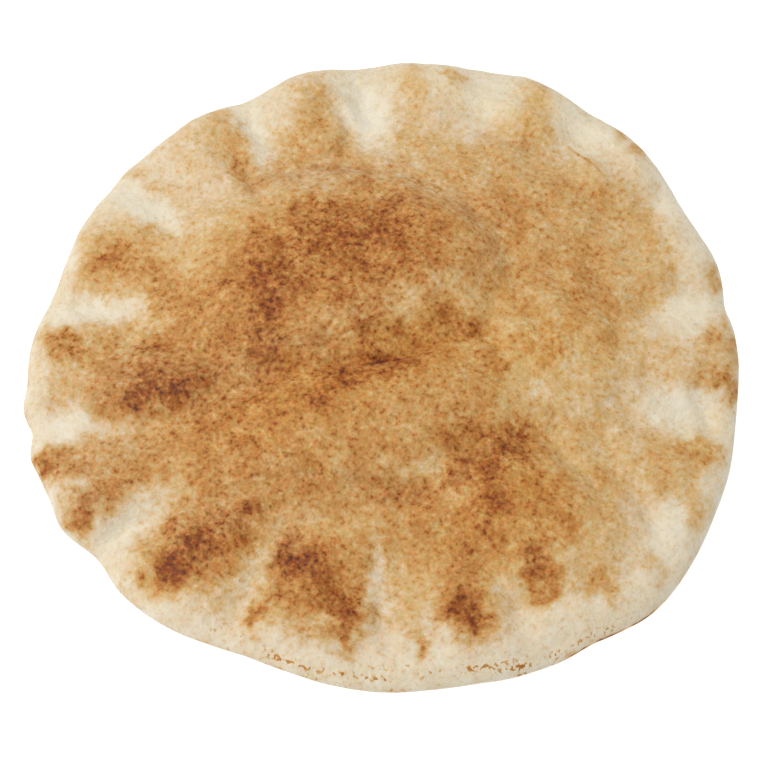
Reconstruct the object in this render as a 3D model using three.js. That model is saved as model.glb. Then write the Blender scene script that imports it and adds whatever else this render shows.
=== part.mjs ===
// A whole pita bread, uncut. The dough puffed up in the oven and sank again, so its upper crust is a set of
// swellings with creases between them, ringed by small blisters and pinched valleys at the rim.
//
// One solid. Millimetres, +Z up, resting on Z = 0, with the origin under the middle of the bread.
// The shape is a ball pressed flat: every vertex of a unit ball is carried to the upper crust, round the
// rim or to the underside, and the relief is added there.

import * as THREE from "three";
import { mergeVertices } from "three/addons/utils/BufferGeometryUtils.js";

// ---- Driving dimensions ----

const RIM_RADIUS = 100;
const RIM_THICKNESS = 9;
const RIM_ROUNDING = 8; // how far in from the edge the rounded rim starts
const CROWN_RISE = 5; // the middle of the upper crust over its shoulder, before any swelling
const SEAM_SHARPNESS = 6; // higher makes a sharper crease where two swellings meet
const SWELLING_EDGE = 3; // higher makes a flatter top and a steeper edge

// Where the outline stands out from, or falls short of, the rim radius, as azimuth, width and height.
const OUTLINE_SWAY = [
  { azimuth: 2, width: 14, out: 0.8 },
  { azimuth: 9, width: 3, out: -1.1 },
  { azimuth: 17, width: 4, out: 0.8 },
  { azimuth: 45, width: 8, out: 1.4 },
  { azimuth: 60, width: 24, out: 4.2 },
  { azimuth: 65, width: 6, out: 1.3 },
  { azimuth: 78, width: 5, out: -0.4 },
  { azimuth: 93, width: 4, out: -0.5 },
  { azimuth: 105, width: 4, out: 1.1 },
  { azimuth: 115, width: 14, out: -3.2 },
  { azimuth: 123, width: 5, out: 1.0 },
  { azimuth: 142, width: 5, out: 1.1 },
  { azimuth: 152, width: 26, out: -2.6 },
  { azimuth: 154, width: 3, out: 0.9 },
  { azimuth: 168, width: 7, out: -1.1 },
  { azimuth: 200, width: 24, out: 2.2 },
  { azimuth: 219, width: 4, out: -2.1 },
  { azimuth: 234, width: 8, out: 0.9 },
  { azimuth: 249, width: 15, out: -3.6 },
  { azimuth: 263, width: 15, out: 1.2 },
  { azimuth: 289, width: 4, out: 0.5 },
  { azimuth: 304, width: 5, out: -2.0 },
  { azimuth: 314, width: 21, out: 6.0 },
  { azimuth: 340, width: 7, out: 0.8 },
  { azimuth: 82, width: 30, out: -0.3 },
  { azimuth: 152, width: 8, out: -0.4 },
  { azimuth: 272, width: 44, out: 0.5 },
  { azimuth: 116, width: 62, out: -1.0 },
  { azimuth: 194, width: 1.8, out: -1.0 },
  { azimuth: 229, width: 14, out: 0.5 },
  { azimuth: 250, width: 10, out: 0.4 },
  { azimuth: 296, width: 30, out: 0.8 },
  { azimuth: 305, width: 3, out: 0.6 },
  { azimuth: 335, width: 12, out: 0.4 },
  { azimuth: 27, width: 4, out: -0.6 },
  { azimuth: 57, width: 8, out: -0.4 },
  { azimuth: 166, width: 5, out: -0.4 },
  { azimuth: 185, width: 2.5, out: -0.3 },
  { azimuth: 189.5, width: 2.5, out: 0.8 },
  { azimuth: 198.5, width: 2.5, out: 0.9 },
  { azimuth: 211, width: 3, out: 1.2 },
  { azimuth: 150, width: 3, out: 0.8 },
  { azimuth: 240, width: 10, out: 0.5 },
  { azimuth: 314, width: 5, out: 0.3 },
];

// Valleys pinched into the rim: azimuth and half width in degrees, how far the rim is drawn down.
const RIM_VALLEYS = [
  { azimuth: 12, width: 5, down: 1.6 },
  { azimuth: 31, width: 4, down: 1.2 },
  { azimuth: 52, width: 4, down: 1.6 },
  { azimuth: 71, width: 4, down: 1.0 },
  { azimuth: 94, width: 5, down: 2.0 },
  { azimuth: 115, width: 4, down: 1.6 },
  { azimuth: 141, width: 4, down: 1.2 },
  { azimuth: 167, width: 5, down: 1.6 },
  { azimuth: 195, width: 5, down: 1.4 },
  { azimuth: 219, width: 4, down: 1.6 },
  { azimuth: 244, width: 3, down: 1.2 },
  { azimuth: 270, width: 3, down: 0.8 },
  { azimuth: 296, width: 5, down: 1.0 },
  { azimuth: 346, width: 7, down: 1.4 },
];

// Swellings of the upper crust: centre, half length and half width, turn from +X in degrees, and rise.
const SWELLINGS = [
  { name: "main dome", at: [-16, 22], half: [49, 36], turn: 8, rise: 8.6 },
  { name: "dome shoulder", at: [12, 27], half: [22, 24], turn: 0, rise: 9.2 },
  { name: "middle roll", at: [-10, -25], half: [54, 23], turn: 14, rise: 7.4 },
  { name: "right lobe", at: [48, 2], half: [28, 20], turn: -74, rise: 4.3 },
  { name: "front right roll", at: [40, -53], half: [29, 21], turn: -30, rise: 6.2 },
  { name: "far shelf", at: [40, 46], half: [36, 20], turn: -32, rise: 3.6 },
  { name: "left patch", at: [-64, -12], half: [23, 13], turn: 8, rise: 5.5 },
];

// Blisters round the rim, each running inwards: azimuth, distance from the middle, half length, half width.
const RIM_BLISTERS = [
  { azimuth: 357, reach: 90, half: [15, 10], rise: 2.1 },
  { azimuth: 21, reach: 88, half: [18, 12], rise: 1.8 },
  { azimuth: 40, reach: 90, half: [17, 12], rise: 2.1 },
  { azimuth: 60, reach: 90, half: [18, 11], rise: 2.5 },
  { azimuth: 80, reach: 86, half: [16, 11], rise: 2.1 },
  { azimuth: 105, reach: 80, half: [20, 12], rise: 3.1 },
  { azimuth: 127, reach: 78, half: [21, 11], rise: 3.1 },
  { azimuth: 157, reach: 80, half: [20, 16], rise: 3.2 },
  { azimuth: 180, reach: 86, half: [16, 11], rise: 2.7 },
  { azimuth: 209, reach: 84, half: [20, 11], rise: 3.2 },
  { azimuth: 231, reach: 76, half: [19, 16], rise: 3.1 },
  { azimuth: 257, reach: 74, half: [20, 17], rise: 2.6 },
  { azimuth: 286, reach: 80, half: [17, 14], rise: 3.1 },
  { azimuth: 302, reach: 84, half: [14, 10], rise: 2.5 },
  { azimuth: 314, reach: 90, half: [14, 9], rise: 2.0 },
  { azimuth: 334, reach: 88, half: [15, 11], rise: 2.4 },
];

// Folds in the upper crust, each along a curve from left to right. A height over 0 is a ridge and under 0 a
// crease; near and far are its half widths on the side towards -Y and on the side towards +Y.
const FOLDS = [
  { name: "dome fold", through: [[-68, -18], [-50, -14], [-30, -6], [-6, 2], [18, 14]], height: 1.8, near: 4, far: 10 },
  { name: "dome crease", through: [[-48, -19], [-30, -14], [-12, -9], [4, -6], [22, 2]], height: -1.3, near: 3, far: 3 },
  { name: "dome brow", through: [[-30, 52], [-10, 53], [5, 50], [17, 40], [25, 31], [29, 20]], height: 0.4, near: 6, far: 3 },
  { name: "dome edge", through: [[-36, 58], [-14, 60], [6, 57], [19, 48], [29, 39], [36, 28], [40, 17], [48, 11]], height: -0.9, near: 3.5, far: 3.5 },
  { name: "front fold", through: [[-26, -55], [-8, -55], [12, -54], [28, -46], [42, -30]], height: 1.2, near: 6, far: 7 },
  { name: "front crease", through: [[-40, -37], [-24, -43], [-7, -45], [5, -48], [20, -46], [32, -40]], height: -1.1, near: 3, far: 3 },
  { name: "right crease", through: [[34, -21], [44, -29], [54, -39], [62, -49]], height: -1.4, near: 3, far: 3.5 },
  { name: "lobe crease", through: [[54, 42], [58.5, 31], [61.5, 16], [66.5, 3], [68, -16]], height: -0.25, near: 3, far: 3 },
  { name: "front groove", through: [[-2.5, -60], [-1, -74], [0, -90]], height: -0.6, near: 3, far: 3 },
  { name: "far roll", through: [[0, 86], [20, 85], [38, 80], [50, 72], [62, 57], [72, 45], [77, 24]], height: 1.3, near: 8, far: 4.5 },
  { name: "left blister crease", through: [[-68, 47], [-60, 35], [-57, 22], [-61, 10]], height: -1.2, near: 3.5, far: 3.5 },
  { name: "upper left crease", through: [[-44, 72], [-41, 60], [-36, 50], [-32, 42]], height: -1.3, near: 3, far: 3 },
  { name: "far left crease", through: [[-28, 87], [-15, 82], [-10, 73], [-12, 62]], height: -0.8, near: 3, far: 3 },
  { name: "near right crease", through: [[66, -38], [72, -50], [77, -64]], height: -0.9, near: 3, far: 3 },
  { name: "left pinch", through: [[-84, -70], [-77.5, -62], [-71, -55.5], [-63, -52]], height: -0.8, near: 3, far: 3 },
  { name: "right rim crease", through: [[87, -10], [90.5, -19], [93, -32]], height: -1.0, near: 3, far: 3 },
];
const FOLD_STEPS = 20;

// Places where the rim stands off the table: azimuth, half width in degrees, and lift.
const RIM_LIFTS = [
  { azimuth: 275, width: 38, lift: 2.0 },
  { azimuth: 105, width: 30, lift: 2.5 },
  { azimuth: 30, width: 22, lift: 1.5 },
  { azimuth: 185, width: 22, lift: 1.2 },
];
const LIFT_START = 0.72; // as a share of the rim radius: further in, the underside lies flat

// The underside rests on its flat middle and on four low points round it, and is a little off the table between.
const FLAT_MIDDLE = 44; // radius
const UNDERSIDE_GAP = 0.4;
const LOW_POINTS = [
  [48, 48],
  [-48, 48],
  [-48, -48],
  [48, -48],
];

// Hollows in the underside. The trim cuts off their thin outer skirts, so that the rest stays truly flat.
const HOLLOW_TRIM = 0.02;
const UNDERSIDE_HOLLOWS = [
  { at: [46, 26], half: [18, 9], turn: 40, rise: 1.4 },
  { at: [-18, 58], half: [20, 8], turn: -15, rise: 1.6 },
  { at: [-56, -14], half: [17, 9], turn: 80, rise: 1.3 },
  { at: [14, -58], half: [22, 8], turn: 10, rise: 1.5 },
];

// How the ball's surface is shared out, from its upper pole to its lower one.
const BALL_DETAIL = 22;
const UPPER_SHARE = 0.64;
const RIM_SHARE = 0.2;
const UNDER_SHARE = 1 - UPPER_SHARE - RIM_SHARE;

const CRUST_COLOUR = 0xd2a06a;

// ---- Shape functions ----

const bell = (offset, width) => Math.exp(-((offset / width) ** 2));

// How far apart two azimuths are, in degrees, the short way round.
const turnBetween = (a, b) => ((((a - b) % 360) + 540) % 360) - 180;

function rimRadius(azimuth) {
  let radius = RIM_RADIUS;
  for (const sway of OUTLINE_SWAY) radius += sway.out * bell(turnBetween(azimuth, sway.azimuth), sway.width);
  return radius;
}

// Height of a flat-topped swelling over its base.
function swellingHeight({ at, half, turn, rise }, x, y) {
  const angle = THREE.MathUtils.degToRad(turn);
  const dx = x - at[0];
  const dy = y - at[1];
  const along = (dx * Math.cos(angle) + dy * Math.sin(angle)) / half[0];
  const across = (dy * Math.cos(angle) - dx * Math.sin(angle)) / half[1];
  return rise * Math.exp(-((along ** 2 + across ** 2) ** (SWELLING_EDGE / 2)));
}

// A rim blister as a swelling whose length points at the middle of the bread.
function asSwelling({ azimuth, reach, half, rise }) {
  const angle = THREE.MathUtils.degToRad(azimuth);
  return { at: [reach * Math.cos(angle), reach * Math.sin(angle)], half, turn: azimuth, rise };
}

const ALL_SWELLINGS = [...SWELLINGS, ...RIM_BLISTERS.map(asSwelling)];

// The swellings side by side: the highest one counts, with a crease where two meet.
function puffedHeight(x, y) {
  let sum = 0;
  for (const swelling of ALL_SWELLINGS) sum += swellingHeight(swelling, x, y) ** SEAM_SHARPNESS;
  return sum ** (1 / SEAM_SHARPNESS);
}

function foldLine({ through }) {
  const curve = new THREE.CatmullRomCurve3(through.map(([x, y]) => new THREE.Vector3(x, y, 0)));
  return curve.getPoints(FOLD_STEPS);
}

const FOLD_LINES = FOLDS.map((fold) => ({ ...fold, line: foldLine(fold) }));

// Height of one fold at a point: full along the middle of its curve, and fading out at both ends.
function foldHeight({ line, height, near, far }, x, y) {
  let nearest = Infinity;
  let side = 1;
  let share = 0;
  for (let i = 0; i + 1 < line.length; i++) {
    const a = line[i];
    const run = { x: line[i + 1].x - a.x, y: line[i + 1].y - a.y };
    const t = THREE.MathUtils.clamp(
      ((x - a.x) * run.x + (y - a.y) * run.y) / (run.x ** 2 + run.y ** 2), 0, 1);
    const off = { x: x - a.x - t * run.x, y: y - a.y - t * run.y };
    const distance = Math.hypot(off.x, off.y);
    if (distance < nearest) {
      nearest = distance;
      side = Math.sign(run.x * off.y - run.y * off.x);
      share = (i + t) / (line.length - 1);
    }
  }
  const fade = Math.sin(Math.PI * share) ** 0.7;
  return height * fade * bell(nearest, side > 0 ? far : near);
}

function upperRelief(x, y, azimuth, towardsRim) {
  let height = CROWN_RISE * (1 - towardsRim ** 2) ** 2 + puffedHeight(x, y);
  for (const fold of FOLD_LINES) height += foldHeight(fold, x, y);
  for (const v of RIM_VALLEYS) {
    height -= v.down * bell(turnBetween(azimuth, v.azimuth), v.width) * THREE.MathUtils.smoothstep(towardsRim, 0.6, 1);
  }
  return height;
}

function rimLift(azimuth, outwards) {
  let lift = 0;
  for (const l of RIM_LIFTS) lift += l.lift * bell(turnBetween(azimuth, l.azimuth), l.width);
  return lift * THREE.MathUtils.smoothstep(outwards, LIFT_START, 1);
}

// How far the bottom of the bread is off the table, this far from its middle.
const undersideGap = (radius) => UNDERSIDE_GAP * THREE.MathUtils.smoothstep(radius, FLAT_MIDDLE, FLAT_MIDDLE + 10);

// Carries a direction from the middle of the ball to its place on the bread.
function placeOnBread(direction) {
  const azimuth = THREE.MathUtils.radToDeg(Math.atan2(direction.y, direction.x));
  const share = THREE.MathUtils.clamp((1 - direction.z) / 2, 0, 1);
  const rim = rimRadius(azimuth);
  const shoulder = rim - RIM_ROUNDING;
  const half = RIM_THICKNESS / 2;

  let radius;
  let level; // height before relief
  let cover; // how much of the upper relief reaches here
  if (share < UPPER_SHARE) {
    radius = shoulder * Math.sqrt(share / UPPER_SHARE);
    level = RIM_THICKNESS;
    cover = 1;
  } else if (share < UPPER_SHARE + RIM_SHARE) {
    const turn = Math.PI * (0.5 - (share - UPPER_SHARE) / RIM_SHARE);
    radius = shoulder + RIM_ROUNDING * Math.cos(turn);
    level = half + half * Math.sin(turn);
    cover = (1 + Math.sin(turn)) / 2;
  } else {
    radius = shoulder * Math.sqrt((1 - share) / UNDER_SHARE);
    level = 0;
    cover = 0;
  }

  const flat = Math.hypot(direction.x, direction.y) || 1;
  const x = (radius * direction.x) / flat;
  const y = (radius * direction.y) / flat;
  level += undersideGap(radius) * (1 - level / RIM_THICKNESS);
  let z = level + rimLift(azimuth, radius / rim);
  if (cover > 0) z += cover * upperRelief(x, y, azimuth, Math.min(radius / shoulder, 1));
  if (cover === 0) for (const hollow of UNDERSIDE_HOLLOWS) z += Math.max(swellingHeight(hollow, x, y) - HOLLOW_TRIM, 0);
  return new THREE.Vector3(x, y, Math.max(z, 0));
}

// Lowers one vertex of the underside to the table at each low point, so that the bread stands without rocking.
function lowerFeet(position) {
  for (const [x, y] of LOW_POINTS) {
    let nearest = -1;
    let least = Infinity;
    for (let i = 0; i < position.count; i++) {
      if (position.getZ(i) > RIM_THICKNESS / 3) continue;
      const distance = Math.hypot(position.getX(i) - x, position.getY(i) - y);
      if (distance < least) [nearest, least] = [i, distance];
    }
    position.setZ(nearest, 0);
  }
}

// Brings the middle of the bread over the origin.
function standOnOrigin(bread) {
  bread.computeBoundingBox();
  const middle = bread.boundingBox.getCenter(new THREE.Vector3());
  bread.translate(-middle.x, -middle.y, 0);
}

function breadGeometry() {
  const ball = new THREE.IcosahedronGeometry(1, BALL_DETAIL);
  ball.deleteAttribute("normal");
  ball.deleteAttribute("uv");
  const bread = mergeVertices(ball, 1e-5);
  const position = bread.getAttribute("position");
  const vertex = new THREE.Vector3();
  for (let i = 0; i < position.count; i++) {
    const placed = placeOnBread(vertex.fromBufferAttribute(position, i));
    position.setXYZ(i, placed.x, placed.y, placed.z);
  }
  lowerFeet(position);
  standOnOrigin(bread);
  bread.computeVertexNormals();
  return bread;
}

// ---- The bread ----

function pitaBread() {
  const crust = new THREE.MeshStandardMaterial({ color: CRUST_COLOUR, roughness: 0.75, metalness: 0 });
  const bread = new THREE.Mesh(breadGeometry(), crust);
  bread.name = "pita_bread";
  return bread;
}

const pita = new THREE.Group();
pita.add(pitaBread());

export default pita;
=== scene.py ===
"""A whole pita bread on a pale table, as a Blender scene.

The bread is one closed crust: a ball pressed flat, with the swellings, folds and rim blisters of a dough that
puffed up in the oven and sank again. Its baking shows as a browning level at every vertex, painted on in
patches, with painted shade along some creases and in a slit of the rim, and the crust's material turns that
level into cream, tan, brown or nearly black, with fine mottling, and greys it where flour dust and a painted
sheen lie.
Shapes and patches are in millimetres here and become metres as they enter the mesh.
"""

import math

import bmesh
import bpy
import numpy as np
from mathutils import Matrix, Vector


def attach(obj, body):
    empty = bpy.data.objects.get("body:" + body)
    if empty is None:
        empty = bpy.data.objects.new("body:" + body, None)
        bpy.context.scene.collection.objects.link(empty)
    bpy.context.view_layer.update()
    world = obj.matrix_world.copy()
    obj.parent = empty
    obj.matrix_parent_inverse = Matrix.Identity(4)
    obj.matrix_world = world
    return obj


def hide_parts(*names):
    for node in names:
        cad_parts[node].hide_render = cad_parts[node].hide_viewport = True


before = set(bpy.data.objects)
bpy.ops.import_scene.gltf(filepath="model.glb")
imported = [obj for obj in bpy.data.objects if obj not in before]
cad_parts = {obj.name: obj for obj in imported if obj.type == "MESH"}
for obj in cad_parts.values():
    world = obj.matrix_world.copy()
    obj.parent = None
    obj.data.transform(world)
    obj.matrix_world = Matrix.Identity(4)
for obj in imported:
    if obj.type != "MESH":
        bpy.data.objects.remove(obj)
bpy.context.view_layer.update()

MM = 0.001

# ---- The bread's shape ----

RIM_RADIUS = 100
RIM_THICKNESS = 9
RIM_ROUNDING = 8  # how far in from the edge the rounded rim starts
CROWN_RISE = 5  # the middle of the upper crust over its shoulder, before any swelling
SEAM_SHARPNESS = 6  # higher makes a sharper crease where two swellings meet
SWELLING_EDGE = 3  # higher makes a flatter top and a steeper edge

# Where the outline stands out from, or falls short of, the rim radius: azimuth, width, how far out.
OUTLINE_SWAY = [
    (2, 14, 0.8),
    (9, 3, -1.1),
    (17, 4, 0.8),
    (45, 8, 1.4),
    (60, 24, 4.2),
    (65, 6, 1.3),
    (78, 5, -0.4),
    (93, 4, -0.5),
    (105, 4, 1.1),
    (115, 14, -3.2),
    (123, 5, 1.0),
    (142, 5, 1.1),
    (152, 26, -2.6),
    (154, 3, 0.9),
    (168, 7, -1.1),
    (200, 24, 2.2),
    (219, 4, -2.1),
    (234, 8, 0.9),
    (249, 15, -3.6),
    (263, 15, 1.2),
    (289, 4, 0.5),
    (304, 5, -2.0),
    (314, 21, 6.0),
    (340, 7, 0.8),
    (82, 30, -0.3),
    (152, 8, -0.4),
    (272, 44, 0.5),
    (116, 62, -1.0),
    (194, 1.8, -1.0),
    (229, 14, 0.5),
    (250, 10, 0.4),
    (296, 30, 0.8),
    (305, 3, 0.6),
    (335, 12, 0.4),
    (27, 4, -0.6),
    (57, 8, -0.4),
    (166, 5, -0.4),
    (185, 2.5, -0.3),
    (189.5, 2.5, 0.8),
    (198.5, 2.5, 0.9),
    (211, 3, 1.2),
    (150, 3, 0.8),
    (240, 10, 0.5),
    (314, 5, 0.3),
]

# Valleys pinched into the rim: azimuth and half width in degrees, how far the rim is drawn down.
RIM_VALLEYS = [
    (12, 5, 1.6),
    (31, 4, 1.2),
    (52, 4, 1.6),
    (71, 4, 1.0),
    (94, 5, 2.0),
    (115, 4, 1.6),
    (141, 4, 1.2),
    (167, 5, 1.6),
    (195, 5, 1.4),
    (219, 4, 1.6),
    (244, 3, 1.2),
    (270, 3, 0.8),
    (296, 5, 1.0),
    (346, 7, 1.4),
]

# Swellings of the upper crust: name, centre, half length and half width, turn from +X, rise.
SWELLINGS = [
    ("main dome", (-16, 22), (49, 36), 8, 8.6),
    ("dome shoulder", (12, 27), (22, 24), 0, 9.2),
    ("middle roll", (-10, -25), (54, 23), 14, 7.4),
    ("right lobe", (48, 2), (28, 20), -74, 4.3),
    ("front right roll", (40, -53), (29, 21), -30, 6.2),
    ("far shelf", (40, 46), (36, 20), -32, 3.6),
    ("left patch", (-64, -12), (23, 13), 8, 5.5),
]

# Blisters round the rim, each running inwards: azimuth, distance from the middle, half length and half width.
RIM_BLISTERS = [
    (357, 90, (15, 10), 2.1),
    (21, 88, (18, 12), 1.8),
    (40, 90, (17, 12), 2.1),
    (60, 90, (18, 11), 2.5),
    (80, 86, (16, 11), 2.1),
    (105, 80, (20, 12), 3.1),
    (127, 78, (21, 11), 3.1),
    (157, 80, (20, 16), 3.2),
    (180, 86, (16, 11), 2.7),
    (209, 84, (20, 11), 3.2),
    (231, 76, (19, 16), 3.1),
    (257, 74, (20, 17), 2.6),
    (286, 80, (17, 14), 3.1),
    (302, 84, (14, 10), 2.5),
    (314, 90, (14, 9), 2.0),
    (334, 88, (15, 11), 2.4),
]

# Folds in the upper crust, each along a curve from left to right: points, height, near and far half width.
FOLDS = [
    ("dome fold", [(-68, -18), (-50, -14), (-30, -6), (-6, 2), (18, 14)], 1.8, 4, 10),
    ("dome crease", [(-48, -19), (-30, -14), (-12, -9), (4, -6), (22, 2)], -1.3, 2.4, 1.6),
    ("dome lip", [(-8, -10.8), (-3.5, -8.8), (2, -7.2), (7, -6.8), (13, -3.8)], -1.5, 2.2, 1.2),
    ("dome brow", [(-30, 52), (-10, 53), (5, 50), (17, 40), (25, 31), (29, 20)], 0.4, 6, 3),
    (
        "dome edge",
        [(-36, 58), (-14, 60), (6, 57), (19, 48), (29, 39), (36, 28), (40, 17), (48, 11)],
        -0.9, 3.5, 3.5,
    ),
    ("front fold", [(-26, -55), (-8, -55), (12, -54), (28, -46), (42, -30)], 1.2, 6, 7),
    ("front crease", [(-40, -37), (-24, -43), (-7, -45), (5, -48), (20, -46), (32, -40)], -1.1, 3, 3),
    ("right crease", [(34, -21), (44, -29), (54, -39), (62, -49)], -1.4, 2.4, 3.5),
    ("lobe crease", [(54, 42), (58.5, 31), (61.5, 16), (66.5, 3), (68, -16)], -0.25, 3, 3),
    ("front groove", [(-2.5, -60), (-1, -74), (0, -90)], -0.6, 2.5, 2.5),
    ("far roll", [(0, 86), (20, 85), (38, 80), (50, 72), (62, 57), (72, 45), (77, 24)], 1.3, 8, 4.5),
    ("left blister crease", [(-68, 47), (-60, 35), (-57, 22), (-61, 10)], -1.2, 3.5, 3.5),
    ("upper left crease", [(-44, 72), (-41, 60), (-36, 50), (-32, 42)], -1.3, 3, 3),
    ("far left crease", [(-28, 87), (-15, 82), (-10, 73), (-12, 62)], -1.1, 2, 2),
    ("near right crease", [(66, -38), (72, -50), (77, -64)], -0.9, 3, 3),
    ("left pinch", [(-84, -70), (-77.5, -62), (-71, -55.5), (-63, -52)], -1.2, 2.0, 2.5),
    ("right rim crease", [(87, -10), (90.5, -19), (93, -32)], -1.2, 2.8, 2.5),
]
FOLD_STEPS = 20

# Fine wrinkles along a line: points, how far beyond the line their middle lies, reach, spacing, depth.
WRINKLES = [
    ([(-70, -16), (-48, -13), (-26, -6), (-2, 0), (22, 10)], 3, 7, 2.4, 0.16),
    ([(-36, 56), (-14, 60), (8, 56), (22, 44), (34, 26)], 0, 5, 2.6, 0.12),
    ([(-66, -52), (-52, -48), (-38, -44), (-20, -46)], 0, 5, 2.5, 0.12),
    ([(20, -46), (32, -36), (38, -26)], -3, 5, 2.4, 0.14),
    ([(-94, -40), (-82, -42), (-70, -42), (-58, -36)], 0, 8, 2.6, 0.14),
]
WRINKLE_BROWNING = 0.7  # how much a wrinkle's crest is browned for its height

# Low unevenness of the skin over the swellings: height, length, seed.
SKIN_WAVES = [(0.25, 14, 11), (0.10, 5, 12)]

# Places where the rim stands off the table: azimuth, half width in degrees, and lift.
RIM_LIFTS = [(275, 38, 2.0), (105, 30, 2.5), (30, 22, 1.5), (185, 22, 1.2)]
LIFT_START = 0.72

# Hollows in the underside: centre, half length and half width, turn, rise.
UNDERSIDE_HOLLOWS = [
    ((46, 26), (18, 9), 40, 1.4),
    ((-18, 58), (20, 8), -15, 1.6),
    ((-56, -14), (17, 9), 80, 1.3),
    ((14, -58), (22, 8), 10, 1.5),
]

# How the ball's surface is shared out, from its upper pole to its lower one.
UPPER_SHARE = 0.78
RIM_SHARE = 0.14
UNDER_SHARE = 1 - UPPER_SHARE - RIM_SHARE

# ---- The baking, as browning levels from 0, pale cream, to 1, dark brown ----

PALE = 0.09

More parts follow.
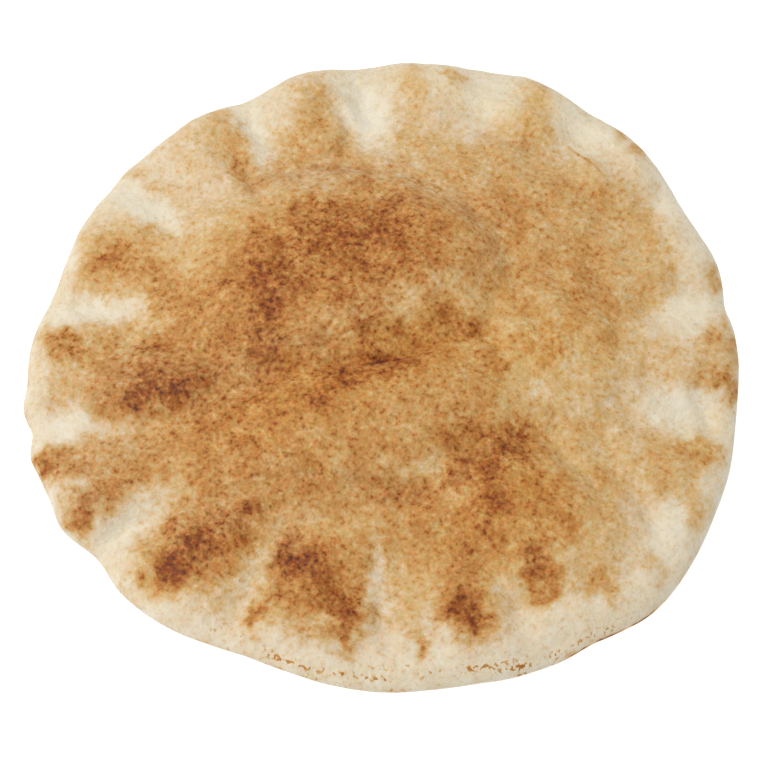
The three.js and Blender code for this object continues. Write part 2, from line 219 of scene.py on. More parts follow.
# Painted in this order: x, y, half length, half width, turn from +X, and the level reached in the middle.
BROWNING = [
    # Broad fields.
    (0, 2, 74, 68, 0, 0.42),
    (48, 15, 34, 52, -10, 0.42),
    (50, -14, 20, 12, -10, 0.29),
    (72, -8, 12, 28, 0, 0.27),
    (74, 30, 10, 22, -15, 0.34),
    (20, 60, 40, 12, -12, 0.40),
    (-48, 55, 14, 22, 35, 0.27),
    (-75, -6, 18, 16, 0, 0.42),
    (-70, -32, 22, 9, 10, 0.40),
    (0, -70, 50, 14, 0, 0.36),
    (15, -60, 28, 14, 0, 0.47),
    (-35, -40, 30, 12, 0, 0.55),
    (-20, -15, 36, 22, 15, 0.57),
    (-40, 0, 22, 22, 0, 0.55),
    (-12, 20, 34, 26, 10, 0.60),
    # Upper dome.
    (-9, 32, 26, 14, 15, 0.72),
    (-13, 31, 6, 6, 0, 0.86),
    (-1, 36, 7, 8, 0, 0.76),
    (5, 24, 9, 6, 0, 0.70),
    (11, 19, 9, 6, 20, 0.66),
    (24, 20, 5, 6, 0, 0.44),
    (-33, 10, 8, 17, -10, 0.84),
    (-31, -6, 6, 7, 0, 0.70),
    (-17, 41, 6, 4, 0, 0.70),
    (-5, 50, 4, 8, 0, 0.58),
    (-26, 36, 6, 5, 0, 0.62),
    (-44, 8, 7, 10, 0, 0.58),
    # Upper middle.
    (-16, 10, 8, 5, 0, 0.66),
    (-15, 2, 7, 4.5, 0, 0.44),
    (-8, -4, 8, 4, 20, 0.48),
    (7, 8, 5, 6, 0, 0.30),
    (24, 12, 15, 4.5, -22, 0.34),
    (-2, 1, 6, 4, 0, 0.72),
    (20, 4, 8, 4.5, -15, 0.64),
    (23.5, 2.5, 3, 2.5, 0, 0.82),
    (29, -8, 4, 8, 0, 0.60),
    (46, -3, 5, 7, 0, 0.44),
    (36, 4, 3, 3, 0, 0.28),
    # The long fold.
    (-9, -13, 22, 5.5, 32, 0.74),
    (-11, -15, 4, 3.5, 0, 0.90),
    (-16, -20, 3, 2.5, 0, 0.86),
    (8, -9, 8, 5, 12, 0.80),
    (-38, -22, 9, 9, 0, 0.60),
    (-47, -30, 10, 7, 10, 0.60),
    (-43, -13, 8, 4.5, 30, 0.45),
    # Middle roll.
    (6, -23, 14, 6, 5, 0.47),
    (20, -14, 10, 6, 0, 0.46),
    (-2, -33, 14, 5, 0, 0.50),
    (5, -47, 13, 3.5, 0, 0.64),
    (-22, -44, 8, 6, 0, 0.58),
    (12, -55, 12, 5, 0, 0.52),
    (-8, -53, 10, 5, 0, 0.40),
    # Front right.
    (32, -36, 12, 8, 35, 0.74),
    (33, -36, 4, 3, 30, 0.90),
    (38, -28, 4, 2, -30, 0.74),
    (24, -31, 10, 7, 0, 0.66),
    (24, -42, 6, 5, 0, 0.70),
    (30, -52, 7, 6, 0, 0.74),
    (30, -53, 2.4, 2.4, 0, 0.88),
    (26, -62, 7, 7, 0, 0.62),
    (43, -48, 10, 10, 0, 0.60),
    (47, -56, 11, 9, 0, 0.55),
    (60, -45, 7, 12, 0, 0.40),
    (62, -60, 8, 8, 0, 0.30),
    (41, -68, 5.5, 5, -30, 0.80),
    (44, -75, 4.5, 5, -40, 0.58),
    (8, -73, 6, 6, 0, 0.30),
    (20, -76, 6, 10, 10, 0.60),
    (24, -83, 8, 5.5, -30, 0.88),
    (58, -72, 4.5, 5, 70, 0.46),
    (73, -66, 3.5, 3.5, 0, 0.40),
    # Right rim.
    (84, -32, 12, 4, 4, 0.46),
    (91, -32, 3, 3, 0, 0.52),
    (76, -39, 10, 7, 0, 0.36),
    (83, -48, 5.5, 8, 15, 0.44),
    (93, -9, 7, 4, 10, 0.54),
    (92, 2, 3.5, 8, -10, 0.40),
    (98, 8, 2.5, 6, -20, 0.34),
    (59, 24, 5, 11, 5, 0.52),
    (62, 45, 5, 6, 0, 0.46),
    (64, 8, 4, 12, 0, 0.44),
    (34, 43, 10, 8, -30, 0.53),
    # Far rim.
    (44, 72, 6, 14, -12, 0.38),
    (47, 86, 3.5, 6, 0, 0.40),
    (72, 74, 4, 3, 40, 0.32),
    (9, 86, 4, 14, 0, 0.29),
    (21, 93, 3.5, 6, 0, 0.30),
    (20, 75, 6, 10, 0, 0.22),
    (-20, 78, 7, 14, 8, 0.34),
    (-20, 74, 4, 5, 0, 0.44),
    (-26, 60, 5, 10, 0, 0.47),
    (-33, 58, 7, 6, 0, 0.42),
    (-16, 66, 8, 5, 0, 0.42),
    (8, 65, 14, 7, 0, 0.30),
    (-12, 58, 10, 5, 0, 0.48),
    (-54, 56, 8, 12, 0, 0.20),
    (-46, 72, 6, 11, 25, 0.33),
    (-41, 58, 3.5, 11, 25, 0.52),
    (-69, 57, 13, 1.8, -37, 0.26),
    (86, 44, 4, 6, 20, 0.18),
    # Left rim.
    (-77, 28, 11, 11, 10, 0.50),
    (-78, 29, 4, 3.5, 0, 0.66),
    (-66, 36, 7, 7, 0, 0.36),
    (-62, 17, 12, 5.5, -58, 0.62),
    (-89, 0, 12, 4, -24, 0.58),
    (-84, -2, 6, 3, -20, 0.64),
    (-63, -3, 5, 6, 0, 0.66),
    (-61, -9, 14, 7, -5, 0.62),
    (-63, -16.5, 16, 5.5, 5, 0.90),
    (-86, -12, 8, 6, 0, 0.36),
    (-78, -40, 9, 5, 0, 0.48),
    (-86, -35, 13, 4.5, 12, 0.56),
    (-96, -36, 4, 3.5, 40, 0.78),
    (-86, -45, 6, 3.5, 20, 0.30),
    (-73, -44, 18, 4.5, 38, 0.58),
    (-82, -52.5, 5, 2.5, 45, 0.74),
    (-57, -45, 5, 4, 0, 0.26),
    # Front left.
    (-49, -61, 16, 12, 22, 0.74),
    (-51, -61, 5, 4.5, 0, 0.90),
    (-57, -68, 5, 5, 30, 0.90),
    (-36, -52, 7, 2.5, 5, 0.74),
    (-18, -72, 16, 11, -48, 0.74),
    (-23, -65, 5, 5, 0, 0.90),
    (-10, -83, 4, 8, 8, 0.78),
    (-33, -80, 2.6, 7, -12, 0.64),
    (-24, -73, 3, 2.5, 0, 0.48),
    (-20, -84, 6, 4, 0, 0.38),
    (9.5, -90, 1.8, 6, 0, 0.56),
    # Pale places.
    (-5, 80, 7, 15, 15, 0.02),
    (30, 87, 8, 8, 0, 0.07),
    (27, 76, 5, 5, 0, 0.12),
    (62, 68, 14, 8, -35, 0.12),
    (60, 76, 16, 6, -38, 0.06),
    (84, 50, 6, 14, 20, 0.06),
    (90, 34, 6, 10, 0, 0.08),
    (82, 8, 8, 6, 0, 0.14),
    (-38, 74, 4, 14, 18, 0.05),
    (-69, 47, 15, 5, -38, 0.05),
    (-91, 30, 4, 10, 0, 0.08),
    (-99, -5, 4, 12, 0, 0.10),
    (-84, 12.5, 18, 4.5, 2, 0.04),
    (-90, -24, 14, 5, -4, 0.07),
    (-71, -56, 15, 4.5, 42, 0.07),
    (-35, -70, 2.8, 14, -20, 0.22),
    (-1, -74, 3.2, 14, 2, 0.16),
    (33, -75, 5, 5, 0, 0.22),
    (45, -84, 20, 5, 14, 0.12),
    (82, -18, 12, 7, 0, 0.05),
    (88, 14, 9, 6, 10, 0.06),
    (78, -57, 6, 12, -25, 0.06),
    (-66, -78, 18, 5, -42, 0.10),
]
PATCH_EDGE = 1.4  # higher makes a crisper edge to a patch

# How the patches' edges are broken up: distance, length, and the seeds along x and y.
PATCH_RAGGING = [(0.8, 12, 1, 3), (0.6, 4.5, 2, 4), (0.3, 2, 5, 6)]

UNDER_LEVEL = 0.42
RIM_SIDE_LEVEL = 0.10
PALER_SIDE = (15, 55, 0.12)  # the stretch where the rim's side is paler: azimuth, half width, how much

# Thin dark lines of painted shade along the bottom of creases: points, half width, level.
CREASE_SHADE_LINES = [
    ([(-8, -10.8), (-3.5, -8.8), (2, -7.2), (7, -6.8), (13, -3.8)], 1.0, 1.12),
    ([(35, -20.5), (40, -24.5), (45, -29), (50, -34)], 0.8, 0.62),
    ([(-44, -53), (-38, -52.3), (-32, -53.5)], 1.0, 0.90),
    ([(52, 71), (60, 62), (67, 52)], 0.8, 0.40),
]

# Patches where the skin is greyer (over 0), from flour dust and a painted sheen, or warmer (under 0) than its
# browning makes it, with their values in the same order as those of the browning.
DUST_AND_SHEEN = [
    (-22, 56, 26, 7, 3, 1.0),
    (18, 50, 22, 5, -28, 0.6),
    (34, 70, 34, 5, -22, 0.5),
    (30, 84, 34, 7, -18, -0.8),
    (-52, -14, 26, 7, 24, 0.7),
    (-18, 0, 26, 4, 26, 0.6),
    (8, 12, 16, 4, 28, 0.5),
    (-80, -30, 20, 26, 20, 0.6),
    (-86, -48, 10, 12, 0, 0.9),
    (-66, -10, 14, 8, 0, 0.9),
    (-48, -55, 18, 5, 10, 0.8),
    (-52, -66, 8, 10, 0, 0.6),
    (-27, -63, 4, 9, -25, 0.8),
    (-1, -74, 3, 12, 0, 0.6),
    (-10, -45, 24, 3.5, -5, 0.5),
    (24, -42, 10, 4, 40, 0.8),
    (-18, -18, 26, 8, 20, -0.7),
    (12, -4, 12, 10, 30, -0.6),
    (44, -2, 22, 14, 0, -0.5),
    (36, -50, 22, 12, 20, -0.6),
    (92, -30, 8, 12, 0, -0.5),
    (88, -8, 8, 10, 0, 0.4),
    (0, -90, 70, 7, 0, 0.5),
]
DUST_AND_SHEEN_EDGE = 1
DUST_AND_SHEEN_RAGGING = [(1.5, 14, 51, 53), (0.8, 5, 52, 54)]
DUST_AND_SHEEN_FULL_LEVEL = 0.45  # the browning from which the flour dust and painted sheen show in full

# Brown lines and spots along the rim, and one dark line of painted shade where the rim has a slit: azimuth
# and half width in degrees, then the turn round the rim's section, from 90 on the upper crust to -90
# underneath, with its half width, and the level.
RIM_BROWNING_AND_SLIT_SHADE = [
    (309, 6.5, -2, 8, 1.25),
    (302, 4, 0, 7, 1.10),
    # Painted shade: the dark slit in the near rim.
    (298.5, 0.9, 10, 14, 1.60),
    (0.5, 3, 24, 34, 0.42),
    (352.5, 3, 24, 34, 0.50),
    (14, 3, 24, 34, 0.30),
    (43.5, 3, 34, 34, 0.40),
    (290, 4, -22, 6, 0.40),
    (213, 4, 28, 30, 0.22),
    (200.5, 1.8, 18, 26, 0.40),
    (226, 9, -18, 7, 0.30),
]

# Lines of flecks along the rim, in the same way, with how thick the flecks lie in place of the level.
FLECK_LINES = [
    (247, 6, 50, 12, 0.7),
    (255, 6, 38, 9, 1.1),
    (266, 7, 44, 7, 1.3),
    (262, 20, 8, 16, 0.5),
    (283, 8, 50, 8, 1.1),
    (293, 6, 34, 11, 1.4),
    (292, 5, 4, 12, 1.2),
    (306, 8, 30, 14, 0.8),
    (238, 14, -6, 12, 0.6),
    (272, 4, 70, 9, 0.7),
]

# Colours of the crust at rising browning levels, as level and sRGB colour out of 255.
CRUST_COLOURS = [
    (0.00, (235, 227, 207)),
    (0.06, (232, 220, 194)),
    (0.12, (227, 210, 179)),
    (0.18, (223, 199, 162)),
    (0.25, (218, 186, 139)),
    (0.31, (212, 176, 119)),
    (0.42, (205, 158, 95)),
    (0.50, (198, 144, 79)),
    (0.57, (191, 134, 68)),
    (0.65, (183, 120, 56)),
    (0.75, (169, 104, 42)),
    (0.83, (158, 91, 28)),
    (0.92, (146, 77, 20)),
    (1.00, (133, 64, 17)),
    (1.15, (111, 52, 16)),
    (1.30, (86, 40, 16)),
]
RAMP_TOP = 1.4  # the level at the ramp's far end
DUST_AND_SHEEN_TINT = (-0.05, 0, 0.26)  # what flour dust and painted sheen of 1 add to red, green and blue, as a share of each
TINT_SPREAD = (0.56, 0, 0.90)  # the same for the fine unevenness of the tint, at a browning of about 0.6

# The crust's grain, as the scale of each pattern on coordinates in metres.
GRAIN_TURN = (0.5, 0.35, 0.6)
BROAD_MOTTLE = 170
FINE_MOTTLE = 640
BROAD_SHARE = 0.38
DOTS = 900
TINTS = 560
SPECK_CELLS = 230
SPECK_SIZE = 0.17  # as a share of a cell
SPECK_LEVEL = 0.24
SPECK_WOBBLE = 1100
SPECK_WOBBLE_REACH = 0.003

# ---- Camera and lights ----

CAMERA_ELEVATION = 62
CAMERA_LENS = 120
CAMERA_SENSOR = 36
CAMERA_DISTANCE = 721
CAMERA_AIM = (0.35, -8.2, 6.0)

# Place and width in metres, and power in watts.
KEY_LIGHT = ((-0.60, 0.02, 1.30), 0.4, 13.2)
RIGHT_FILL = ((0.98, 0.26, 0.14), 0.5, 0.7)
ROOM_LIGHT = 0.40
TABLE_REACH = 3


def bell(offset, width):
    return np.exp(-((offset / width) ** 2))


def smooth_step(value, low, high):
    t = np.clip((value - low) / (high - low), 0, 1)
    return t * t * (3 - 2 * t)


def turn_between(a, b):
    """How far apart two azimuths are, in degrees, the short way round."""
    return (a - b + 180) % 360 - 180


def waves(x, y, length, seed, count=14):
    """Smooth unevenness of about one wavelength, mostly between -1 and 1."""
    draw = np.random.default_rng(seed)
    total = np.zeros_like(x)
    for _ in range(count):
        heading = draw.uniform(0, 2 * math.pi)
        pitch = 2 * math.pi / (length * draw.uniform(0.7, 1.4))
        start = draw.uniform(0, 2 * math.pi)
        total += np.sin(pitch * (x * math.cos(heading) + y * math.sin(heading)) + start)
    return total / math.sqrt(count / 2)


# ---- Shape ----


def rim_radius(azimuth):
    radius = np.full_like(azimuth, RIM_RADIUS)
    for centre, width, out in OUTLINE_SWAY:
        radius += out * bell(turn_between(azimuth, centre), width)
    return radius


def oval_distance(x, y, centre, half, turn):
    """Distance from the centre of an oval squared, which is 1 on its outline."""
    angle = math.radians(turn)
    dx = x - centre[0]
    dy = y - centre[1]
    along = (dx * math.cos(angle) + dy * math.sin(angle)) / half[0]
    across = (dy * math.cos(angle) - dx * math.sin(angle)) / half[1]
    return along**2 + across**2


def swelling_height(x, y, centre, half, turn, rise):
    return rise * np.exp(-(oval_distance(x, y, centre, half, turn) ** (SWELLING_EDGE / 2)))


def puffed_height(x, y):
    """The swellings side by side: the highest one counts, with a crease where two meet."""
    total = np.zeros_like(x)
    for _, centre, half, turn, rise in SWELLINGS:
        total += swelling_height(x, y, centre, half, turn, rise) ** SEAM_SHARPNESS
    for azimuth, reach, half, rise in RIM_BLISTERS:
        angle = math.radians(azimuth)
        centre = (reach * math.cos(angle), reach * math.sin(angle))
        total += swelling_height(x, y, centre, half, azimuth, rise) ** SEAM_SHARPNESS
    return total ** (1 / SEAM_SHARPNESS)


def fold_line(points):
    """A smooth line through the points, as an array of places along it."""
    knots = [Vector(p) for p in points]
    knots = [2 * knots[0] - knots[1], *knots, 2 * knots[-1] - knots[-2]]
    spans = len(points) - 1
    line = []
    for step in range(FOLD_STEPS + 1):
        place = step / FOLD_STEPS * spans
        span = min(int(place), spans - 1)
        t = place - span
        a, b, c, d = knots[span : span + 4]
        bend = 2 * a - 5 * b + 4 * c - d
        twist = 3 * b - a - 3 * c + d
        line.append(b + 0.5 * t * ((c - a) + t * (bend + t * twist)))
    return np.array(line)


def line_place(x, y, points):
    """Each place's distance from a smooth line, negative on its near side, and the share of it passed."""
    line = fold_line(points)
    nearest = np.full_like(x, np.inf)
    side = np.zeros_like(x)
    share = np.zeros_like(x)
    for step in range(FOLD_STEPS):
        start = line[step]
        run = line[step + 1] - start
        t = np.clip(((x - start[0]) * run[0] + (y - start[1]) * run[1]) / (run @ run), 0, 1)
        off_x = x - start[0] - t * run[0]
        off_y = y - start[1] - t * run[1]
        distance = np.hypot(off_x, off_y)
        closer = distance < nearest
        nearest = np.where(closer, distance, nearest)
        side = np.where(closer, run[0] * off_y - run[1] * off_x, side)
        share = np.where(closer, (step + t) / FOLD_STEPS, share)
    return np.where(side > 0, nearest, -nearest), np.clip(share, 0, 1)


def fold_height(x, y, points, height, near, far):
    """Height of one fold: full along the middle of its line, and fading out at both ends."""
    distance, share = line_place(x, y, points)
    return height * np.sin(math.pi * share) ** 0.7 * bell(distance, np.where(distance > 0, far, near))


def upper_relief(x, y, azimuth, towards_rim):
    height = CROWN_RISE * (1 - towards_rim**2) ** 2 + puffed_height(x, y)
    for _, points, rise, near, far in FOLDS:
        height += fold_height(x, y, points, rise, near, far)
    for centre, width, down in RIM_VALLEYS:
        height -= down * bell(turn_between(azimuth, centre), width) * smooth_step(towards_rim, 0.6, 1)
    return height


def rim_lift(azimuth, outwards):
    lift = np.zeros_like(azimuth)
    for centre, width, rise in RIM_LIFTS:
        lift += rise * bell(turn_between(azimuth, centre), width)
    return lift * smooth_step(outwards, LIFT_START, 1)


def underside_hollows(x, y):
    total = np.zeros_like(x)
    for centre, half, turn, rise in UNDERSIDE_HOLLOWS:
        total += swelling_height(x, y, centre, half, turn, rise)
    return total


def press_flat(ball):
    """Carries the unit ball's points to their places on the bread.

    Gives the places, the turn round the rim's section from 90 on the upper crust to -90 underneath, and the
    share of the upper crust's relief that reaches each point."""
    azimuth = np.degrees(np.arctan2(ball[:, 1], ball[:, 0]))
    share = np.clip((1 - ball[:, 2]) / 2, 0, 1)
    rim = rim_radius(azimuth)
    shoulder = rim - RIM_ROUNDING
    half = RIM_THICKNESS / 2

    turn = np.clip(90 - 180 * (share - UPPER_SHARE) / RIM_SHARE, -90, 90)
    angle = np.radians(turn)
    upper = share < UPPER_SHARE
    under = share > UPPER_SHARE + RIM_SHARE
    radius = shoulder + RIM_ROUNDING * np.cos(angle)
    radius = np.where(upper, shoulder * np.sqrt(share / UPPER_SHARE), radius)
    radius = np.where(under, shoulder * np.sqrt((1 - share) / UNDER_SHARE), radius)
    cover = (1 + np.sin(angle)) / 2

    flat = np.hypot(ball[:, 0], ball[:, 1])
    flat = np.where(flat > 0, flat, 1)
    x = radius * ball[:, 0] / flat
    y = radius * ball[:, 1] / flat
    z = half + half * np.sin(angle) + rim_lift(azimuth, radius / rim)
    z += cover * (upper_relief(x, y, azimuth, np.minimum(radius / shoulder, 1)) + fine_relief(x, y))
    z += np.where(under, underside_hollows(x, y), 0)
    return np.column_stack((x, y, np.maximum(z, 0))), turn, cover


def wrinkles(x, y):
    """Height of the fine wrinkles beside some of the folds."""
    height = np.zeros_like(x)
    for points, offset, reach, spacing, depth in WRINKLES:
        distance, share = line_place(x, y, points)
        place = distance - offset
        phase = 2 * math.pi * (place + 0.9 * waves(x, y, 11, 13)) / spacing
        patchy = smooth_step(waves(x, y, 8, 14), -0.8, 0.8)
        height += depth * np.sin(math.pi * share) ** 0.5 * bell(place, reach) * patchy * np.sin(phase)
    return height


def fine_relief(x, y):
    """Low unevenness of the skin over the swellings, with the wrinkles."""
    skin = sum(height * waves(x, y, length, seed) for height, length, seed in SKIN_WAVES)
    return skin + wrinkles(x, y)


# ---- Browning ----


def ragged(x, y, ragging):
    """The places, each moved a little, so that what is painted by them has uneven edges."""
    moved_x = x
    moved_y = y
    for distance, length, seed_x, seed_y in ragging:
        moved_x = moved_x + distance * waves(x, y, length, seed_x)
        moved_y = moved_y + distance * waves(x, y, length, seed_y)
    return moved_x, moved_y


def painted(x, y, ground, patches, edge):
    """The ground's level with the patches on it, each drawn over those before it."""
    level = np.full_like(x, ground)
    for centre_x, centre_y, half_length, half_width, turn, target in patches:
        distance = oval_distance(x, y, (centre_x, centre_y), (half_length, half_width), turn)
        level += (target - level) * np.exp(-(distance**edge))
    return level


def browning_level(x, y):
    level = painted(*ragged(x, y, PATCH_RAGGING), PALE, BROWNING, PATCH_EDGE)
    return level + WRINKLE_BROWNING * wrinkles(x, y)


# Painted shade: a dark line along the bottom of each crease.
def painted_crease_shade(x, y):
    total = np.zeros_like(x)
    for points, width, level in CREASE_SHADE_LINES:
        distance, share = line_place(x, y, points)
        total = np.maximum(total, level * np.sin(math.pi * share) ** 0.5 * bell(distance, width))
    return total


def dust_and_sheen(x, y):
    """How much greyer from flour dust and a painted sheen, or under 0 how much warmer, the skin is than its
    browning makes it.
    """
    return painted(*ragged(x, y, DUST_AND_SHEEN_RAGGING), 0, DUST_AND_SHEEN, DUST_AND_SHEEN_EDGE)


def under_browning(x, y):
    """The underside, baked on the oven floor: tan all over, with darker spots."""
    spots = waves(x, y, 26, 21) + 0.7 * waves(x, y, 11, 22)
    return UNDER_LEVEL + 0.13 * spots


def rim_lines(azimuth, turn, lines):
    total = np.zeros_like(azimuth)
    for centre, half, at, width, level in lines:
        line = np.exp(-((turn_between(azimuth, centre) / half) ** 4)) * bell(turn - at, width)
        total = np.maximum(total, level * line)
    return total


# ---- The crust ----


def make_ball():
    """A fine ball, from which the crust is pressed."""
    work = bmesh.new()
    bmesh.ops.create_icosphere(work, subdivisions=6, radius=1)
    bmesh.ops.subdivide_edges(work, edges=work.edges[:], cuts=2, use_grid_fill=True)
    mesh = bpy.data.meshes.new("pita_crust")
    work.to_mesh(mesh)
    work.free()
    return mesh


def side_browning(x, y, azimuth):
    """The rim's side, which is pale all round and palest at the right."""
    centre, half, paler = PALER_SIDE
    return RIM_SIDE_LEVEL - paler * bell(turn_between(azimuth, centre), half) + 0.04 * waves(x, y, 9, 31)


def bake(mesh, x, y, turn, cover):
    """Puts the browning with the painted shade of the creases, the flecks, and the flour dust with painted
    sheen on the crust's vertices.
    """
    azimuth = np.degrees(np.arctan2(y, x))
    # The upper crust's browning, darkened along the creases by their painted shade.
    upper = np.maximum(browning_level(x, y), painted_crease_shade(x, y))
    side = side_browning(x, y, azimuth)
    level = np.where(turn > 0, side + (upper - side) * smooth_step(turn, 5, 55), side)
    level = np.where(turn < 0, side + (under_browning(x, y) - side) * smooth_step(-turn, 15, 50), level)
    level += rim_lines(azimuth, turn, RIM_BROWNING_AND_SLIT_SHADE) * smooth_step(waves(x, y, 6, 41), -1.4, 0.2)
    flecking = rim_lines(azimuth, turn, FLECK_LINES) * smooth_step(waves(x, y, 7, 42), -1.2, 0.6)
    # Greyer skin where flour dust and a painted sheen lie, on the upper crust and where it is browned.
    greyness = dust_and_sheen(x, y) * cover * np.clip(level / DUST_AND_SHEEN_FULL_LEVEL, 0, 1)
    for name, values in (("browning", level), ("flecking", flecking), ("dust_and_sheen", greyness)):
        mesh.attributes.new(name, "FLOAT", "POINT").data.foreach_set("value", values)


def make_crust():
    mesh = make_ball()
    ball = np.empty(len(mesh.vertices) * 3)
    mesh.vertices.foreach_get("co", ball)
    ball = ball.reshape(-1, 3)
    ball /= np.linalg.norm(ball, axis=1, keepdims=True)
    places, turn, cover = press_flat(ball)
    middle = (places.min(axis=0) + places.max(axis=0)) / 2
    x, y = places[:, 0].copy(), places[:, 1].copy()
    places[:, :2] -= middle[:2]
    mesh.vertices.foreach_set("co", (places * MM).ravel())
    bake(mesh, x, y, turn, cover)

    for face in mesh.polygons:
        face.use_smooth = True
    mesh.update()
    crust = bpy.data.objects.new("pita_crust", mesh)
    bpy.context.scene.collection.objects.link(crust)
    return crust


# ---- Materials ----


def linear(colour):
    """An sRGB colour out of 255 as the linear colour that a shader takes."""
    parts = [c / 255 for c in colour]
    return [p / 12.92 if p <= 0.04045 else ((p + 0.055) / 1.055) ** 2.4 for p in parts] + [1]


class Shader:
    """Adds nodes to a new material, each linked to what feeds it."""

    def __init__(self, name):
        self.material = bpy.data.materials.new(name)
        self.material.use_nodes = True
        self.nodes = self.material.node_tree.nodes
        self.links = self.material.node_tree.links
        self.surface = self.nodes["Principled BSDF"]

    def add(self, kind, inputs=(), **settings):
        node = self.nodes.new(kind)
        for name, value in settings.items():
            setattr(node, name, value)
        for socket, value in dict(inputs).items():
            self.feed(node.inputs[socket], value)
        return node

    def feed(self, socket, value):
        if isinstance(value, bpy.types.NodeSocket):
            self.links.new(value, socket)
        else:
            socket.default_value = value

    def worked_out(self, kind, operation, values):
        node = self.add(kind, operation=operation)
        for socket, value in zip(node.inputs, values):
            self.feed(socket, value)
        return node.outputs[0]

    def math(self, operation, *values):
        return self.worked_out("ShaderNodeMath", operation, values)

    def vector(self, operation, *values):
        return self.worked_out("ShaderNodeVectorMath", operation, values)

    def scaled(self, vector, factor):
        return self.add("ShaderNodeVectorMath", {0: vector, "Scale": factor}, operation="SCALE").outputs[0]

    def attribute(self, name):
        return self.add("ShaderNodeAttribute", attribute_name=name).outputs["Fac"]

    def noise(self, place, scale, detail, roughness=0.5):
        inputs = {"Vector": place, "Scale": scale, "Detail": detail, "Roughness": roughness}
        return self.add("ShaderNodeTexNoise", inputs)

    def fade(self, value, start, end, top=1):
        """A smooth change from 0 to the top as the value goes from start to end."""
        inputs = {"Value": value, "From Min": start, "From Max": end, "To Max": top}
        return self.add("ShaderNodeMapRange", inputs, interpolation_type="SMOOTHSTEP").outputs["Result"]


def specks(shader, place, browning):
    """Small dark specks, one in some cells of a grain, and in more of them where the crust is browner."""
    cells = shader.add("ShaderNodeTexVoronoi", {"Vector": place, "Scale": SPECK_CELLS})
    share = shader.math("MULTIPLY_ADD", browning, 0.4, -0.12)
    chosen = shader.math("LESS_THAN", cells.outputs["Color"], share)
    near = shader.fade(cells.outputs["Distance"], SPECK_SIZE, SPECK_SIZE * 0.4, SPECK_LEVEL)
    return shader.math("MULTIPLY", chosen, near)


def uneven_level(shader, place, browning):
    """The browning with mottling, flecks, specks and the rim's dots, and the mottling alone for the bump."""
    broad = shader.noise(place, BROAD_MOTTLE, 1).outputs["Fac"]
    fine = shader.noise(place, FINE_MOTTLE, 1.5, 0.7).outputs["Fac"]
    mottle = shader.math("MULTIPLY_ADD", broad, BROAD_SHARE, shader.math("MULTIPLY", fine, 1 - BROAD_SHARE))
    spread = shader.math("MULTIPLY_ADD", browning, 2.3, 0.04)
    level = shader.math("MULTIPLY_ADD", shader.math("SUBTRACT", mottle, 0.5), spread, browning)

    depth = shader.math("MULTIPLY_ADD", browning, 0.22, 0.03)
    level = shader.math("MULTIPLY_ADD", shader.fade(fine, 0.58, 0.74), depth, level)

    wobble = shader.noise(place, SPECK_WOBBLE, 1).outputs["Color"]
    wobble = shader.vector("MULTIPLY", wobble, (SPECK_WOBBLE_REACH,) * 3)
    level = shader.math("ADD", level, specks(shader, shader.vector("ADD", place, wobble), browning))

    flecking = shader.attribute("flecking")
    dots = shader.math("MULTIPLY_ADD", flecking, 0.12, shader.noise(place, DOTS, 1).outputs["Fac"])
    depth = shader.math("MULTIPLY_ADD", flecking, 0.45, 0.06)
    return shader.math("MULTIPLY_ADD", shader.fade(dots, 0.62, 0.72), depth, level), mottle


def crust_colour(shader, place, browning, level):
    """The level's colour, with a fine unevenness of tint, greyer where flour dust and a painted sheen lie and
    warmer where their value is under 0.
    """
    ramp = shader.add("ShaderNodeValToRGB", {"Fac": shader.math("DIVIDE", level, RAMP_TOP)})
    stops = ramp.color_ramp.elements
    for index, (at, colour) in enumerate(CRUST_COLOURS):
        stop = stops[index] if index < 2 else stops.new(at / RAMP_TOP)
        stop.position = at / RAMP_TOP
        stop.color = linear(colour)

    tint = shader.vector("SUBTRACT", shader.noise(place, TINTS, 2).outputs["Color"], (0.5,) * 3)
    tint = shader.vector("MULTIPLY", tint, TINT_SPREAD)
    tint = shader.scaled(tint, shader.math("MULTIPLY_ADD", browning, 1.3, 0.14))
    # Greyer where flour dust and a painted sheen lie, and warmer where the value is under 0.
    tint = shader.vector("ADD", tint, shader.scaled(DUST_AND_SHEEN_TINT, shader.attribute("dust_and_sheen")))
    return shader.vector("MULTIPLY_ADD", ramp.outputs["Color"], tint, ramp.outputs["Color"])


def crust_material():
    shader = Shader("baked_crust")
    place = shader.add("ShaderNodeTexCoord").outputs["Object"]
    place = shader.add("ShaderNodeMapping", {"Vector": place, "Rotation": GRAIN_TURN}).outputs["Vector"]
    browning = shader.attribute("browning")
    level, mottle = uneven_level(shader, place, browning)
    bump = shader.add("ShaderNodeBump", {"Height": mottle, "Strength": 0.6, "Distance": 0.001})

    surface = shader.surface
    shader.feed(surface.inputs["Base Color"], crust_colour(shader, place, browning, level))
    shader.feed(surface.inputs["Roughness"], shader.math("MULTIPLY_ADD", level, -0.12, 0.78))
    shader.feed(surface.inputs["Normal"], bump.outputs["Normal"])
    surface.inputs["Sheen Weight"].default_value = 0.10
    surface.inputs["Sheen Roughness"].default_value = 0.5
    surface.inputs["Specular IOR Level"].default_value = 0.3
    return shader.material


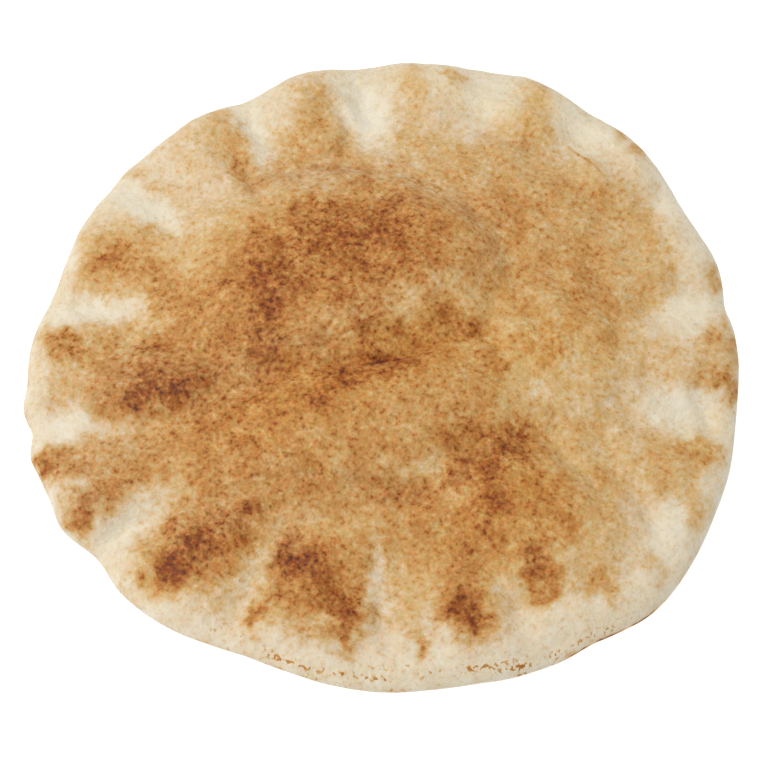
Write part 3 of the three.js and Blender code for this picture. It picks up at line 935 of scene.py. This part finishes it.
def table_material():
    shader = Shader("pale_table")
    shader.surface.inputs["Base Color"].default_value = (0.25, 0.25, 0.25, 1)
    shader.surface.inputs["Roughness"].default_value = 0.9
    shader.surface.inputs["Emission Color"].default_value = (1, 1, 1, 1)
    shader.surface.inputs["Emission Strength"].default_value = 1.0
    return shader.material


# ---- Stage ----


def make_table():
    work = bmesh.new()
    bmesh.ops.create_grid(work, x_segments=1, y_segments=1, size=TABLE_REACH)
    mesh = bpy.data.meshes.new("table")
    work.to_mesh(mesh)
    work.free()
    table = bpy.data.objects.new("table", mesh)
    bpy.context.scene.collection.objects.link(table)
    mesh.materials.append(table_material())


def soft_light(name, place, size, power):
    light = bpy.data.lights.new(name, "AREA")
    light.shape = "DISK"
    light.size = size
    light.energy = power
    lamp = bpy.data.objects.new(name, light)
    lamp.location = place
    lamp.rotation_euler = (-Vector(place)).to_track_quat("-Z", "Y").to_euler()
    bpy.context.scene.collection.objects.link(lamp)


def make_lights():
    world = bpy.data.worlds.new("studio")
    world.use_nodes = True
    background = world.node_tree.nodes["Background"]
    background.inputs["Color"].default_value = (1, 1, 1, 1)
    background.inputs["Strength"].default_value = ROOM_LIGHT
    bpy.context.scene.world = world
    soft_light("key", *KEY_LIGHT)
    soft_light("right fill", *RIGHT_FILL)


def make_camera():
    camera = bpy.data.cameras.new("camera")
    camera.lens = CAMERA_LENS
    camera.sensor_width = CAMERA_SENSOR
    camera.clip_start = 0.01
    elevation = math.radians(CAMERA_ELEVATION)
    back = Vector((0, -math.cos(elevation), math.sin(elevation)))
    holder = bpy.data.objects.new("camera", camera)
    holder.location = (Vector(CAMERA_AIM) + CAMERA_DISTANCE * back) * MM
    holder.rotation_euler = back.to_track_quat("Z", "Y").to_euler()
    bpy.context.scene.collection.objects.link(holder)
    bpy.context.scene.camera = holder


def main():
    make_camera()
    make_lights()
    make_table()

    crust = make_crust()
    crust.data.materials.append(crust_material())
    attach(crust, "root")
    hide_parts("pita_bread")
    bpy.context.scene.view_settings.view_transform = "Standard"


main()
